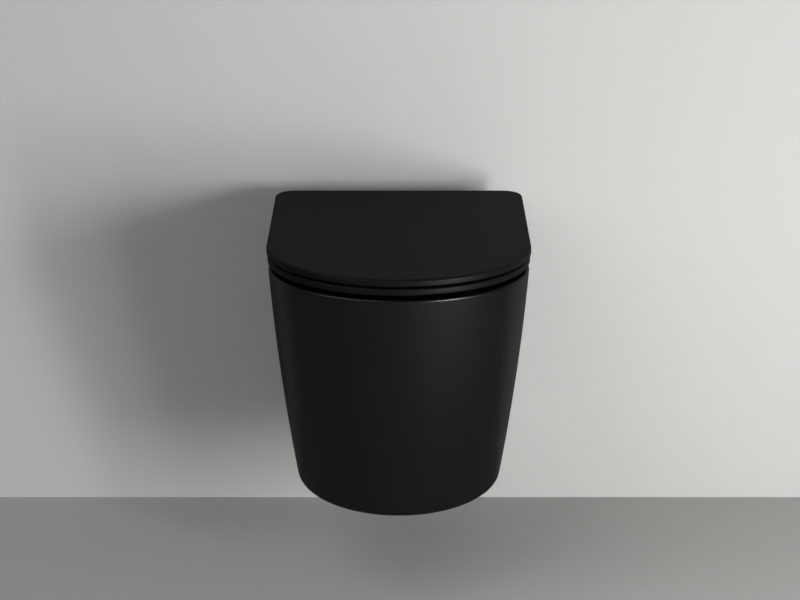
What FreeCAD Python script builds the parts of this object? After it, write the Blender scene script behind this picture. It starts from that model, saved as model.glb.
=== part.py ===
import FreeCAD, Part
import math
import os

from FreeCAD import Vector

# A wall hung toilet with a full skirt, a slim seat and a flat lid.
# Millimetres. X points right seen from the front, Y points to the wall, Z up.
# The origin lies on the finished wall, midway between the two wall studs.

# Wall connections
stud_distance = 180.0
outlet_drop = 100.0            # studs down to the waste outlet's centre
inlet_rise = 35.0              # studs up to the flush inlet's centre
gasket_thickness = 3.0
gasket_width = 14.0

# Ceramic body, outside
projection = 500.0             # wall to the front of the rim
rim_rise = 80.0                # studs up to the rim
ceramic_height = 340.0
rim_half_width = 177.5
rim_curve_length = 154.0       # front curve of the rim, along Y
foot_half_width = 143.8
foot_setback = 81.8            # foot's front behind the rim's front
foot_curve_length = 168.0      # front curve of the foot, along Y
side_bulge = 3.9
front_bulge = 7.0
rim_edge_radius = 3.5
foot_edge_radius = 11.0

# Ceramic body, inside
skirt_wall = 12.0
deck_thickness = 14.0
basin_wall = 10.0
mouth_half_width = 128.0
mouth_front_land = 44.0        # rim's front to the basin's front edge
mouth_rear_distance = 175.0    # wall to the basin's rear edge
mouth_edge_radius = 5.0
mouth_widest_share = 0.52      # of the mouth's length, from its front
basin_levels = (0, 0.22, 0.44, 0.66, 0.85, 1)  # shares of the basin's depth
water_drop = 85.0              # studs down to the water level
seal_depth = 50.0
trap_bore_radius = 38.0
trap_wall = 10.0
trap_bend_radius = 50.0
dip_wall = 12.0                # ceramic between the sump and the rising leg
sump_radius = 42.0
sump_extra_depth = 4.0
spigot_radius = 51.0
spigot_wall = 7.0
spigot_length = 42.0
spigot_recess = 8.0            # spigot's end in front of the wall
socket_radius = 27.5
socket_wall = 8.5
socket_depth = 50.0
flush_channel_radius = 22.0

# Flush inlet seal
flush_pipe_radius = 22.5
seal_length = 40.0
seal_lip = 2.5

# Seat and lid
lid_half_width = 180.0
lid_curve_length = 164.0
lid_overhang = 4.0             # lid's front beyond the rim's front
lid_thickness = 9.55
lid_top_edge_radius = 4.0
lid_bottom_edge_radius = 1.2
back_corner_radius = 28.0
seat_half_width = 178.6
seat_front_setback = 0.8       # seat's front behind the lid's front
seat_thickness = 9.2
seat_edge_radius = 2.5
seat_gap = 7.0                 # rim to seat
lid_gap = 3.45                 # seat to lid
opening_half_width = 112.0
opening_front_width = 62.0     # seat ring's width at the front
opening_length = 282.0
opening_widest_share = 0.52    # of the opening's length, from its front
opening_edge_radius = 3.5
contact_gap = 0.3              # between faces that only rest on each other

# Buffers
seat_buffer_radius = 9.0
lid_buffer_radius = 6.0
buffer_stem_radius = 2.5
buffer_stem_length = 5.0
buffer_edge_radius = 1.0
front_buffer_distance = 420.0  # wall to the front pair of buffers
rear_buffer_distance = 120.0
front_buffer_x = 92.0
rear_buffer_x = 145.0
buffer_stagger = 20.0          # seat buffers in front of the lid's

# Hinges
hinge_spacing = 155.0
hinge_distance = 53.5          # wall to the hinge axis
hinge_rise = 15.2              # rim to the hinge axis
lid_back_setback = 10.5        # hinge axis to the lid's back edge
seat_back_setback = 12.0
barrel_radius = 9.5
barrel_length = 69.0
barrel_bore_radius = 7.0
barrel_bore_depth = 26.0
barrel_edge_radius = 0.8
lug_width = 10.5
lug_radius = 8.0
lug_web_margin = 1.0           # lug's web above the bottom of its round end
ear_root_depth = 2.5           # ear's neck inside the lid
ear_neck_drop = 1.2            # ear's neck below the lid
ear_neck_rise = 6.4            # hinge axis to the neck's upper end
ear_neck_slant = 4.8           # hinge axis to the neck's lower end
side_play = 0.5                # between a barrel and the lug beside it
spindle_radius = 3.0
spindle_flat = 2.2             # spindle's axis to its flats
running_clearance = 0.08
rotor_radius = 5.0
cartridge_cap_thickness = 2.5
cartridge_floor = 2.5
end_play = 0.3
pin_depth = 20.0
post_radius = 6.0
post_flange_radius = 9.8
post_flange_thickness = 3.0
post_fit = 0.05
post_top_margin = 1.7          # barrel's top above the post
screw_radius = 3.0
screw_clearance = 0.2
screw_head_radius = 4.8
screw_head_height = 3.5
deck_hole_radius = 7.25
bush_bulge_radius = 9.5
bush_length = 32.0
bush_edge_radius = 2.0
bush_nut_radius = 6.5
bush_nut_height = 9.0
screw_tip = 3.0                # screw beyond the bush nut
grub_radius = 2.5

# Concealed wall brackets and side fixings
bracket_thickness = 4.0
bracket_half_height = 28.0
bracket_reach = 62.0
bracket_corner_radius = 8.0
bracket_inner_margin = 18.0    # stud axis to the foot's inner end
stud_hole_radius = 6.5
stud_radius = 6.0
washer_radius = 12.0
washer_thickness = 2.5
nut_half_flats = 9.5
nut_height = 10.0
side_boss_radius = 20.0
side_boss_height = 10.4        # boss on the skirt's inner face
side_screw_distance = 40.0     # wall to the side screws
side_screw_radius = 4.0
side_hole_radius = 7.0
side_recess_radius = 11.0
side_recess_depth = 7.0
sleeve_flange_thickness = 1.5
side_head_radius = 6.5
side_head_height = 2.5
side_nut_half_flats = 6.5
side_nut_height = 6.5
side_screw_tip = 2.0
cap_clearance = 0.15

# Levels and lines that follow from the sizes above
rim_z = rim_rise
foot_z = rim_z - ceramic_height
deck_z = rim_z - deck_thickness
seat_bottom_z = rim_z + seat_gap
seat_top_z = seat_bottom_z + seat_thickness
lid_bottom_z = seat_top_z + lid_gap
lid_top_z = lid_bottom_z + lid_thickness
hinge_y = -hinge_distance
hinge_z = rim_z + hinge_rise
hinge_x = hinge_spacing / 2
barrel_inner_x = hinge_x - barrel_length / 2
barrel_outer_x = hinge_x + barrel_length / 2
lid_back_y = hinge_y - lid_back_setback
lid_front_y = -projection - lid_overhang
seat_back_y = hinge_y - seat_back_setback
seat_front_y = lid_front_y + seat_front_setback
water_z = -water_drop
trap_inlet_z = water_z - seal_depth - trap_bore_radius
crest_z = water_z + trap_bore_radius
outlet_z = -outlet_drop
spigot_end_y = -spigot_recess
spigot_root_y = spigot_end_y - spigot_length
fall_angle = math.acos(1 - (crest_z - outlet_z) / (2 * trap_bend_radius))
crest_y = spigot_root_y - 2 * trap_bend_radius * math.sin(fall_angle)
riser_y = crest_y - trap_bend_radius
sump_rear_y = riser_y - trap_bore_radius - dip_wall
sump_y = sump_rear_y - sump_radius
sump_floor_z = trap_inlet_z - trap_bore_radius - sump_extra_depth
mouth_front_y = -projection + mouth_front_land
mouth_rear_y = -mouth_rear_distance
overshoot = 1.0                # how far a cutting shape passes a face


def box(x0, x1, y0, y1, z0, z1):
    return Part.makeBox(x1 - x0, y1 - y0, z1 - z0, Vector(x0, y0, z0))


def rod_x(radius, x0, x1, y, z):
    return Part.makeCylinder(radius, x1 - x0, Vector(x0, y, z), Vector(1, 0, 0))


def rod_y(radius, y0, y1, x, z):
    return Part.makeCylinder(radius, y1 - y0, Vector(x, y0, z), Vector(0, 1, 0))


def rod_z(radius, z0, z1, x, y):
    return Part.makeCylinder(radius, z1 - z0, Vector(x, y, z0), Vector(0, 0, 1))


def mirrored(shape):
    return shape.mirror(Vector(0, 0, 0), Vector(1, 0, 0))


def hexagon(half_flats):
    """A flat hexagon about the Z axis, to be extruded."""
    corner = half_flats / math.cos(math.pi / 6)
    points = [Vector(corner * math.cos(i * math.pi / 3), corner * math.sin(i * math.pi / 3), 0)
              for i in range(7)]
    return Part.Face(Part.makePolygon(points))


def blend(start, end, share):
    return start + (end - start) * share


def quarter_ellipse(centre, start, end):
    """Exact quarter of an ellipse from one axis end to the next."""
    curve = Part.BSplineCurve()
    poles = [start, start + end - centre, end]
    curve.buildFromPolesMultsKnots(poles, [3, 3], [0, 1], False, 2, [1, math.sqrt(0.5), 1])
    return curve.toShape()


def d_outline(half_width, front_y, curve_y, back_y, corner, z):
    """Straight back and sides, and a front that is half an ellipse."""
    left, right = -half_width, half_width
    tip = Vector(0, front_y, z)
    centre = Vector(0, curve_y, z)
    right_end, left_end = Vector(right, curve_y, z), Vector(left, curve_y, z)
    edges = [quarter_ellipse(centre, tip, right_end)]
    if corner:
        right_in = Vector(right - corner, back_y, z)
        left_in = Vector(left + corner, back_y, z)
        right_low, left_low = Vector(right, back_y - corner, z), Vector(left, back_y - corner, z)
        edges += [Part.makeLine(right_end, right_low),
                  quarter_ellipse(Vector(right - corner, back_y - corner, z), right_low, right_in),
                  Part.makeLine(right_in, left_in),
                  quarter_ellipse(Vector(left + corner, back_y - corner, z), left_in, left_low),
                  Part.makeLine(left_low, left_end)]
    else:
        right_back, left_back = Vector(right, back_y, z), Vector(left, back_y, z)
        edges += [Part.makeLine(right_end, right_back), Part.makeLine(right_back, left_back),
                  Part.makeLine(left_back, left_end)]
    edges.append(quarter_ellipse(centre, left_end, tip))
    return Part.Wire(edges)


def egg_outline(half_width, front_y, middle_y, rear_y, z):
    """Closed oval of two half ellipses that meet at its widest line."""
    centre = Vector(0, middle_y, z)
    tips = [Vector(0, front_y, z), Vector(half_width, middle_y, z),
            Vector(0, rear_y, z), Vector(-half_width, middle_y, z)]
    return Part.Wire([quarter_ellipse(centre, tips[i], tips[(i + 1) % 4]) for i in range(4)])


def edges_at(shape, z, front_of=1000.0):
    """Edges lying at one height whose middle is in front of a line."""
    found = []
    for edge in shape.Edges:
        bounds = edge.BoundBox
        if abs(bounds.ZMin - z) < 0.01 and abs(bounds.ZMax - z) < 0.01 and bounds.YMin < front_of:
            found.append(edge)
    return found


def body_section(share, inset, back_y):
    """Outline of the skirt at a share of the way from the rim to the foot."""
    swell = 4 * share * (1 - share)
    half_width = blend(rim_half_width, foot_half_width, share) + side_bulge * swell
    front_y = blend(-projection, -projection + foot_setback, share) - front_bulge * swell
    curve_y = blend(-projection + rim_curve_length,
                    -projection + foot_setback + foot_curve_length, share)
    z = blend(rim_z, foot_z, share)
    return d_outline(half_width - inset, front_y + inset, curve_y, back_y, 0, z)


def skirt_block(inset, top_share, bottom_share, back_y):
    """The space inside the skirt's outline, drawn in by a wall."""
    stations = [blend(top_share, bottom_share, i / 4) for i in range(5)]
    return Part.makeLoft([body_section(share, inset, back_y) for share in stations], True, False)


def slab(front_y, back_y):
    """All the space between two planes parallel to the wall."""
    return box(-rim_half_width * 2, rim_half_width * 2, front_y, back_y,
               foot_z - overshoot, rim_z + overshoot)


def outer_body():
    """Whole outer form up to the wall, with its edges rounded."""
    form = skirt_block(0, 0, 1, overshoot)
    form = form.makeFillet(rim_edge_radius, edges_at(form, rim_z, -overshoot))
    form = form.makeFillet(foot_edge_radius, edges_at(form, foot_z, -overshoot))
    return form.cut(slab(0, overshoot * 2))


def basin(wall):
    """Basin from its mouth to the sump, grown outwards by a wall."""
    sections = []
    for depth in basin_levels:
        z = blend(rim_z, sump_floor_z, depth) - wall * depth
        spread = math.cos(depth * math.pi / 2)
        half_width = blend(sump_radius, mouth_half_width, spread) + wall
        front_y = blend(sump_y - sump_radius, mouth_front_y, spread) - wall
        rear_y = blend(sump_rear_y, mouth_rear_y, (1 - depth) ** 3) + wall
        widest_y = blend(mouth_front_y, mouth_rear_y, mouth_widest_share)
        middle_y = blend(sump_y, widest_y, spread)
        sections.append(egg_outline(half_width, front_y, middle_y, rear_y, z))
    return Part.makeLoft(sections, True, False)


def trap_path(start_y, end_y):
    """Centre line of the trap: sump, rising leg, crest, fall and outlet."""
    bend = trap_bend_radius
    half_y, half_z = math.sin(fall_angle) * bend, (1 - math.cos(fall_angle)) * bend
    slant = math.sqrt(0.5) * bend
    nodes = [Vector(0, start_y, trap_inlet_z),
             Vector(0, riser_y - bend, trap_inlet_z),
             Vector(0, riser_y - bend + slant, trap_inlet_z + bend - slant),
             Vector(0, riser_y, trap_inlet_z + bend),
             Vector(0, riser_y, crest_z - bend),
             Vector(0, crest_y - slant, crest_z - bend + slant),
             Vector(0, crest_y, crest_z)]
    first_mid = Vector(0, crest_y + bend * math.sin(fall_angle / 2),
                       crest_z - bend * (1 - math.cos(fall_angle / 2)))
    turn = Vector(0, crest_y + half_y, crest_z - half_z)
    second_mid = Vector(0, spigot_root_y - bend * math.sin(fall_angle / 2),
                        outlet_z + bend * (1 - math.cos(fall_angle / 2)))
    root = Vector(0, spigot_root_y, outlet_z)
    return Part.Wire([Part.makeLine(nodes[0], nodes[1]),
                      Part.Arc(nodes[1], nodes[2], nodes[3]).toShape(),
                      Part.makeLine(nodes[3], nodes[4]),
                      Part.Arc(nodes[4], nodes[5], nodes[6]).toShape(),
                      Part.Arc(nodes[6], first_mid, turn).toShape(),
                      Part.Arc(turn, second_mid, root).toShape(),
                      Part.makeLine(root, Vector(0, end_y, outlet_z))])


def trap_tube(radius, start_y, end_y):
    """Round tube along the trap's centre line."""
    ring = Part.Wire([Part.makeCircle(radius, Vector(0, start_y, trap_inlet_z), Vector(0, 1, 0))])
    return trap_path(start_y, end_y).makePipeShell([ring], True, False)


def side_hole(radius, x0, x1):
    return rod_x(radius, x0, x1, -side_screw_distance, 0)


def skirt_half_width(z):
    """Outer half width of the straight part of the skirt at a height."""
    share = (rim_z - z) / ceramic_height
    return blend(rim_half_width, foot_half_width, share) + side_bulge * 4 * share * (1 - share)


side_recess_x = skirt_half_width(0) - side_recess_depth
side_boss_face = skirt_half_width(0) - skirt_wall - side_boss_height


def ceramic_bowl(outer):
    """Bowl, trap, skirt and connections, fired as one piece."""
    back_y = -gasket_thickness
    body = outer.cut(slab(back_y, overshoot))
    cavity = skirt_block(skirt_wall, deck_thickness / ceramic_height,
                         1 - skirt_wall / ceramic_height, overshoot)
    solids = [basin(basin_wall),
              trap_tube(trap_bore_radius + trap_wall, sump_y, spigot_root_y + overshoot),
              rod_y(spigot_radius, spigot_root_y, spigot_end_y, 0, outlet_z),
              rod_y(socket_radius + socket_wall, sump_rear_y, back_y, 0, inlet_rise)]
    for side in (-1, 1):
        inner, far = sorted((side * side_boss_face, side * skirt_half_width(0)))
        solids.append(side_hole(side_boss_radius, inner, far))
    for solid in solids:
        cavity = cavity.cut(solid)
    body = body.cut(cavity)
    cutters = [basin(0),
               trap_tube(trap_bore_radius, sump_y, spigot_end_y + overshoot),
               rod_y(spigot_radius - spigot_wall, spigot_root_y + trap_wall,
                     spigot_end_y + overshoot, 0, outlet_z),
               rod_y(socket_radius, back_y - socket_depth, overshoot, 0, inlet_rise),
               rod_y(flush_channel_radius, sump_rear_y, back_y, 0, inlet_rise)]
    for side in (-1, 1):
        near, far = sorted((side * (side_boss_face - overshoot), side * rim_half_width))
        cutters.append(side_hole(side_hole_radius, near, far))
        recess, outside = sorted((side * side_recess_x, side * rim_half_width))
        cutters.append(side_hole(side_recess_radius, recess, outside))
        cutters.append(rod_z(deck_hole_radius, deck_z - overshoot, rim_z + overshoot,
                             side * hinge_x, hinge_y))
    for cutter in cutters:
        body = body.cut(cutter)
    mouth = [edge for edge in edges_at(body, rim_z)
             if edge.BoundBox.YMin > mouth_front_y - overshoot
             and edge.BoundBox.YMax < mouth_rear_y + overshoot
             and edge.BoundBox.XLength > mouth_half_width / 2]
    return body.makeFillet(mouth_edge_radius, mouth)


def wall_gasket(outer):
    """Foam strip between the skirt's rear edge and the wall."""
    sheet = outer.common(slab(-gasket_thickness, 0))
    share = gasket_width / ceramic_height
    return sheet.cut(skirt_block(gasket_width, share, 1 - share, overshoot))


def inlet_seal():
    """Rubber sleeve that the flush pipe pushes into."""
    back_y = -gasket_thickness
    sleeve = rod_y(socket_radius, back_y - seal_length, back_y, 0, inlet_rise)
    lip = rod_y(socket_radius + seal_lip, back_y, 0, 0, inlet_rise)
    bore = rod_y(flush_pipe_radius, back_y - seal_length - overshoot, overshoot, 0, inlet_rise)
    return sleeve.fuse(lip).cut(bore)


def wall_bracket():
    """Right steel angle: a foot on the wall and an arm beside the skirt."""
    stud_x = stud_distance / 2
    arm_x = side_boss_face - contact_gap
    foot = box(stud_x - bracket_inner_margin, arm_x, -bracket_thickness, 0,
               -bracket_half_height, bracket_half_height)
    arm = box(arm_x - bracket_thickness, arm_x, -bracket_reach, 0,
              -bracket_half_height, bracket_half_height)
    corners = [edge for edge in arm.Edges if abs(edge.BoundBox.YMax + bracket_reach) < 0.01
               and edge.BoundBox.XLength > bracket_thickness / 2]
    angle = foot.fuse(arm.makeFillet(bracket_corner_radius, corners)).removeSplitter()
    angle = angle.cut(rod_y(stud_hole_radius, -bracket_thickness - overshoot, overshoot,
                            stud_x, 0))
    return angle.cut(side_hole(side_screw_radius, arm_x - bracket_thickness - overshoot,
                               arm_x + overshoot))


def stud_washer():
    front_y = -bracket_thickness - washer_thickness
    disc = rod_y(washer_radius, front_y, -bracket_thickness, stud_distance / 2, 0)
    return disc.cut(rod_y(stud_radius, front_y - overshoot, 0, stud_distance / 2, 0))


def stud_nut():
    back_y = -bracket_thickness - washer_thickness
    nut = hexagon(nut_half_flats).extrude(Vector(0, 0, nut_height))
    nut.rotate(Vector(), Vector(1, 0, 0), 90)
    nut.translate(Vector(stud_distance / 2, back_y, 0))
    return nut.cut(rod_y(stud_radius, back_y - nut_height - overshoot, 0, stud_distance / 2, 0))


def side_nut():
    """Nut welded to the inner face of the right bracket's arm."""
    face_x = side_boss_face - contact_gap - bracket_thickness
    nut = hexagon(side_nut_half_flats).extrude(Vector(0, 0, side_nut_height))
    nut.rotate(Vector(), Vector(0, 1, 0), -90)
    nut.translate(Vector(face_x, -side_screw_distance, 0))
    return nut.cut(side_hole(side_screw_radius, face_x - side_nut_height - overshoot, face_x))


def side_sleeve():
    """Plastic sleeve that keeps the right side screw off the ceramic."""
    sleeve = side_hole(side_hole_radius, side_boss_face, side_recess_x)
    flange = side_hole(side_recess_radius - cap_clearance, side_recess_x,
                       side_recess_x + sleeve_flange_thickness)
    return sleeve.fuse(flange).cut(side_hole(side_screw_radius, side_boss_face - overshoot,
                                             side_recess_x + sleeve_flange_thickness + overshoot))


def side_screw():
    head_x = side_recess_x + sleeve_flange_thickness
    tip_x = (side_boss_face - contact_gap - bracket_thickness - side_nut_height
             - side_screw_tip)
    screw = side_hole(side_screw_radius, tip_x, head_x)
    return screw.fuse(side_hole(side_head_radius, head_x, head_x + side_head_height))


def side_cap(outer):
    """Round cover over the right side screw, flush with the skirt."""
    inner_x = side_recess_x + sleeve_flange_thickness + side_head_height
    disc = side_hole(side_recess_radius - cap_clearance, inner_x, rim_half_width)
    return disc.common(outer)


def seat_ring():
    """Slim ring with two hinge lugs behind it."""
    ring = Part.Face(d_outline(seat_half_width, seat_front_y, lid_front_y + lid_curve_length,
                               seat_back_y, back_corner_radius, seat_bottom_z))
    ring = ring.extrude(Vector(0, 0, seat_thickness))
    ring = ring.makeFillet(seat_edge_radius, edges_at(ring, seat_top_z)
                           + edges_at(ring, seat_bottom_z))
    front_y = seat_front_y + opening_front_width
    rear_y = front_y + opening_length
    hole = Part.Face(egg_outline(opening_half_width, front_y, blend(front_y, rear_y, opening_widest_share),
                                 rear_y, seat_bottom_z)).extrude(Vector(0, 0, seat_thickness))
    ring = ring.cut(hole)
    rim_edges = [edge for edge in edges_at(ring, seat_top_z) + edges_at(ring, seat_bottom_z)
                 if edge.BoundBox.YMin > front_y - overshoot
                 and edge.BoundBox.YMax < rear_y + overshoot
                 and edge.BoundBox.XMax < opening_half_width + overshoot
                 and edge.BoundBox.XMin > -opening_half_width - overshoot]
    ring = ring.makeFillet(opening_edge_radius, rim_edges)
    for inner_x in (barrel_inner_x - side_play - lug_width, side_play + lug_width - barrel_inner_x):
        x0, x1 = sorted((inner_x, inner_x + math.copysign(lug_width, inner_x)))
        lug = rod_x(lug_radius, x0, x1, hinge_y, hinge_z)
        lug = lug.fuse(box(x0, x1, seat_back_y - seat_edge_radius * 2, hinge_y,
                           hinge_z - lug_radius + lug_web_margin, seat_top_z))
        ring = ring.fuse(lug)
    for x, y in seat_buffer_places():
        ring = ring.cut(rod_z(buffer_stem_radius, seat_bottom_z - overshoot,
                              seat_bottom_z + buffer_stem_length, x, y))
    ring = ring.cut(place(keyed_spindle(), barrel_inner_x, -1))
    return ring.cut(place(round_pin(), -barrel_inner_x, 1))


def seat_buffer_places():
    return [(side * x, -distance) for side in (-1, 1)
            for x, distance in ((front_buffer_x, front_buffer_distance + buffer_stagger),
                                (rear_buffer_x, rear_buffer_distance + buffer_stagger))]


def lid_buffer_places():
    return [(side * x, -distance) for side in (-1, 1)
            for x, distance in ((front_buffer_x, front_buffer_distance),
                                (rear_buffer_x, rear_buffer_distance))]


def buffers(places, radius, top_z, height):
    """Soft pads with stems pressed into the underside of a plate."""
    pads = []
    for x, y in places:
        pad = rod_z(radius, top_z - height, top_z, x, y)
        pad = pad.makeFillet(buffer_edge_radius, edges_at(pad, top_z - height))
        pads.append(pad.fuse(rod_z(buffer_stem_radius, top_z, top_z + buffer_stem_length, x, y)))
    return pads


def lid_plate():
    """Flat lid with two ears behind it for the hinges."""
    lid = Part.Face(d_outline(lid_half_width, lid_front_y, lid_front_y + lid_curve_length,
                              lid_back_y, back_corner_radius, lid_bottom_z))
    lid = lid.extrude(Vector(0, 0, lid_thickness))
    lid = lid.makeFillet(lid_top_edge_radius, edges_at(lid, lid_top_z))
    lid = lid.makeFillet(lid_bottom_edge_radius, edges_at(lid, lid_bottom_z))
    for x0 in (barrel_outer_x + side_play, -barrel_outer_x - side_play - lug_width):
        lid = lid.fuse(lid_ear(x0))
    for x, y in lid_buffer_places():
        lid = lid.cut(rod_z(buffer_stem_radius, lid_bottom_z - overshoot,
                            lid_bottom_z + buffer_stem_length, x, y))
    lid = lid.cut(place(round_pin(), barrel_outer_x, 1))
    return lid.cut(place(keyed_spindle(), -barrel_outer_x, -1))


def lid_ear(x0):
    """Round end about the hinge axis, with a neck up into the lid's back."""
    inside_y = lid_back_y - ear_root_depth
    points = [Vector(x0, hinge_y, hinge_z + ear_neck_rise),
              Vector(x0, inside_y, lid_top_z - lid_top_edge_radius / 2),
              Vector(x0, inside_y, lid_bottom_z + lid_bottom_edge_radius * 1.5),
              Vector(x0, lid_back_y - ear_neck_drop / 2, lid_bottom_z - ear_neck_drop),
              Vector(x0, hinge_y - ear_neck_slant, hinge_z - ear_neck_slant)]
    neck = Part.Face(Part.makePolygon(points + points[:1])).extrude(Vector(lug_width, 0, 0))
    return neck.fuse(rod_x(lug_radius, x0, x0 + lug_width, hinge_y, hinge_z))


def place(shape, x, direction):
    """Moves a hinge piece drawn at the origin to one end of a barrel."""
    shape = shape if direction > 0 else mirrored(shape)
    return shape.translated(Vector(x, hinge_y, hinge_z))


def round_pin():
    """Plain pivot pin: one half turns in the plug, the other sits in a lug."""
    return rod_x(spindle_radius, end_play - pin_depth, side_play + lug_width, 0, 0)


def keyed_spindle():
    """Spindle whose outer half has two flats that turn with its lug."""
    inner = rod_x(spindle_radius, -cartridge_cap_thickness - end_play, side_play, 0, 0)
    outer = rod_x(spindle_radius, side_play, side_play + lug_width, 0, 0)
    flats = box(side_play, side_play + lug_width, -spindle_radius, spindle_radius,
                -spindle_flat, spindle_flat)
    return inner.fuse(outer.common(flats))


def damper_rotor():
    """Rotor drum inside the cartridge, with its keyed spindle."""
    floor_x = cartridge_floor - barrel_bore_depth + end_play
    drum = rod_x(rotor_radius, floor_x, -cartridge_cap_thickness - end_play, 0, 0)
    return drum.fuse(keyed_spindle())


def damper_housing():
    floor_x = cartridge_floor - barrel_bore_depth
    cup = rod_x(barrel_bore_radius, -barrel_bore_depth, -cartridge_cap_thickness, 0, 0)
    return cup.cut(rod_x(rotor_radius + running_clearance, floor_x, overshoot, 0, 0))


def damper_cap():
    cap = rod_x(barrel_bore_radius, -cartridge_cap_thickness, 0, 0, 0)
    return cap.cut(rod_x(spindle_radius + running_clearance, -barrel_bore_depth, overshoot, 0, 0))


def bearing_plug():
    plug = rod_x(barrel_bore_radius, -barrel_bore_depth, 0, 0, 0)
    return plug.cut(rod_x(spindle_radius + running_clearance, -pin_depth, overshoot, 0, 0))


def hinge_barrel():
    """Right barrel: bored from both ends, with a cross hole for its post."""
    barrel = rod_x(barrel_radius, barrel_inner_x, barrel_outer_x, hinge_y, hinge_z)
    ends = [edge for edge in barrel.Edges if edge.BoundBox.XLength < 0.01]
    barrel = barrel.makeChamfer(barrel_edge_radius, ends)
    for x0, x1 in ((barrel_inner_x - overshoot, barrel_inner_x + barrel_bore_depth),
                   (barrel_outer_x - barrel_bore_depth, barrel_outer_x + overshoot)):
        barrel = barrel.cut(rod_x(barrel_bore_radius, x0, x1, hinge_y, hinge_z))
    post_hole = rod_z(post_radius + post_fit, rim_z, post_top_z() + post_fit, hinge_x, hinge_y)
    grub_hole = rod_y(grub_radius, hinge_y, hinge_y + barrel_radius, hinge_x, hinge_z)
    return barrel.cut(post_hole).cut(grub_hole)


def post_top_z():
    return hinge_z + barrel_radius - post_top_margin


def hinge_post():
    """Post with a flange on the deck and a recess for its screw's head."""
    top_z = post_top_z()
    post = rod_z(post_radius, rim_z, top_z, hinge_x, hinge_y)
    post = post.fuse(rod_z(post_flange_radius, rim_z, rim_z + post_flange_thickness,
                           hinge_x, hinge_y))
    post = post.cut(rod_z(screw_radius + screw_clearance, rim_z - overshoot, top_z + overshoot,
                          hinge_x, hinge_y))
    return post.cut(rod_z(screw_head_radius + screw_clearance, top_z - screw_head_height,
                          top_z + overshoot, hinge_x, hinge_y))


def post_screw():
    top_z = post_top_z()
    tip_z = rim_z - bush_length - bush_nut_height - screw_tip
    screw = rod_z(screw_radius, tip_z, top_z, hinge_x, hinge_y)
    return screw.fuse(rod_z(screw_head_radius, top_z - screw_head_height, top_z,
                            hinge_x, hinge_y))


def expansion_bush():
    """Rubber bush, squeezed wider below the deck."""
    bush = rod_z(deck_hole_radius, rim_z - bush_length, rim_z, hinge_x, hinge_y)
    bulge = rod_z(bush_bulge_radius, rim_z - bush_length, deck_z, hinge_x, hinge_y)
    bulge = bulge.makeFillet(bush_edge_radius, bulge.Faces[0].OuterWire.Edges[:1])
    return bush.fuse(bulge).cut(rod_z(screw_radius, rim_z - bush_length - overshoot,
                                      rim_z + overshoot, hinge_x, hinge_y))


def bush_nut():
    top_z = rim_z - bush_length
    nut = hexagon(bush_nut_radius).extrude(Vector(0, 0, bush_nut_height))
    nut.translate(Vector(hinge_x, hinge_y, top_z - bush_nut_height))
    return nut.cut(rod_z(screw_radius, top_z - bush_nut_height - overshoot, top_z + overshoot,
                         hinge_x, hinge_y))


def grub_screw():
    near_y = hinge_y + post_radius
    screw = rod_y(grub_radius, near_y, hinge_y + barrel_radius - end_play, hinge_x, hinge_z)
    return screw.common(rod_x(barrel_radius - end_play, 0, hinge_spacing, hinge_y, hinge_z))


def export(name, *solids):
    """Writes one node, as a group where it holds several solids."""
    shape = solids[0] if len(solids) == 1 else Part.makeCompound(list(solids))
    shape.exportStep("parts/" + name + ".step")


def export_pair(name, right):
    export(name + "_left", mirrored(right))
    export(name + "_right", right)


def export_group(name, right):
    export(name, mirrored(right), right)


os.makedirs("parts", exist_ok=True)
outer = outer_body()
export("ceramic_bowl", ceramic_bowl(outer))
export("wall_gasket", wall_gasket(outer))
export("inlet_seal", inlet_seal())
export_pair("wall_bracket", wall_bracket())
export_group("stud_washers", stud_washer())
export_group("stud_nuts", stud_nut())
export_group("side_nuts", side_nut())
export_group("side_sleeves", side_sleeve())
export_group("side_screws", side_screw())
export_pair("side_cap", side_cap(outer))
export("seat_ring", seat_ring())
export("seat_buffers", *buffers(seat_buffer_places(), seat_buffer_radius, seat_bottom_z,
                                seat_gap - contact_gap))
export("lid", lid_plate())
export("lid_buffers", *buffers(lid_buffer_places(), lid_buffer_radius, lid_bottom_z,
                               lid_gap - contact_gap))
export_pair("hinge_barrel", hinge_barrel())
export_pair("hinge_post", hinge_post())
export_group("post_screws", post_screw())
export_group("expansion_bushes", expansion_bush())
export_group("bush_nuts", bush_nut())
export_group("grub_screws", grub_screw())
for name, piece in (("damper_housing", damper_housing()), ("damper_cap", damper_cap()),
                    ("damper_rotor", damper_rotor())):
    export("lid_" + name, place(piece, -barrel_outer_x, -1))
    export("seat_" + name, place(piece, barrel_inner_x, -1))
for name, piece in (("bearing_plug", bearing_plug()), ("pivot_pin", round_pin())):
    export("lid_" + name, place(piece, barrel_outer_x, 1))
    export("seat_" + name, place(piece, -barrel_inner_x, 1))
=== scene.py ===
import math

import bmesh
import bpy
from mathutils import Matrix, Vector


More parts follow.
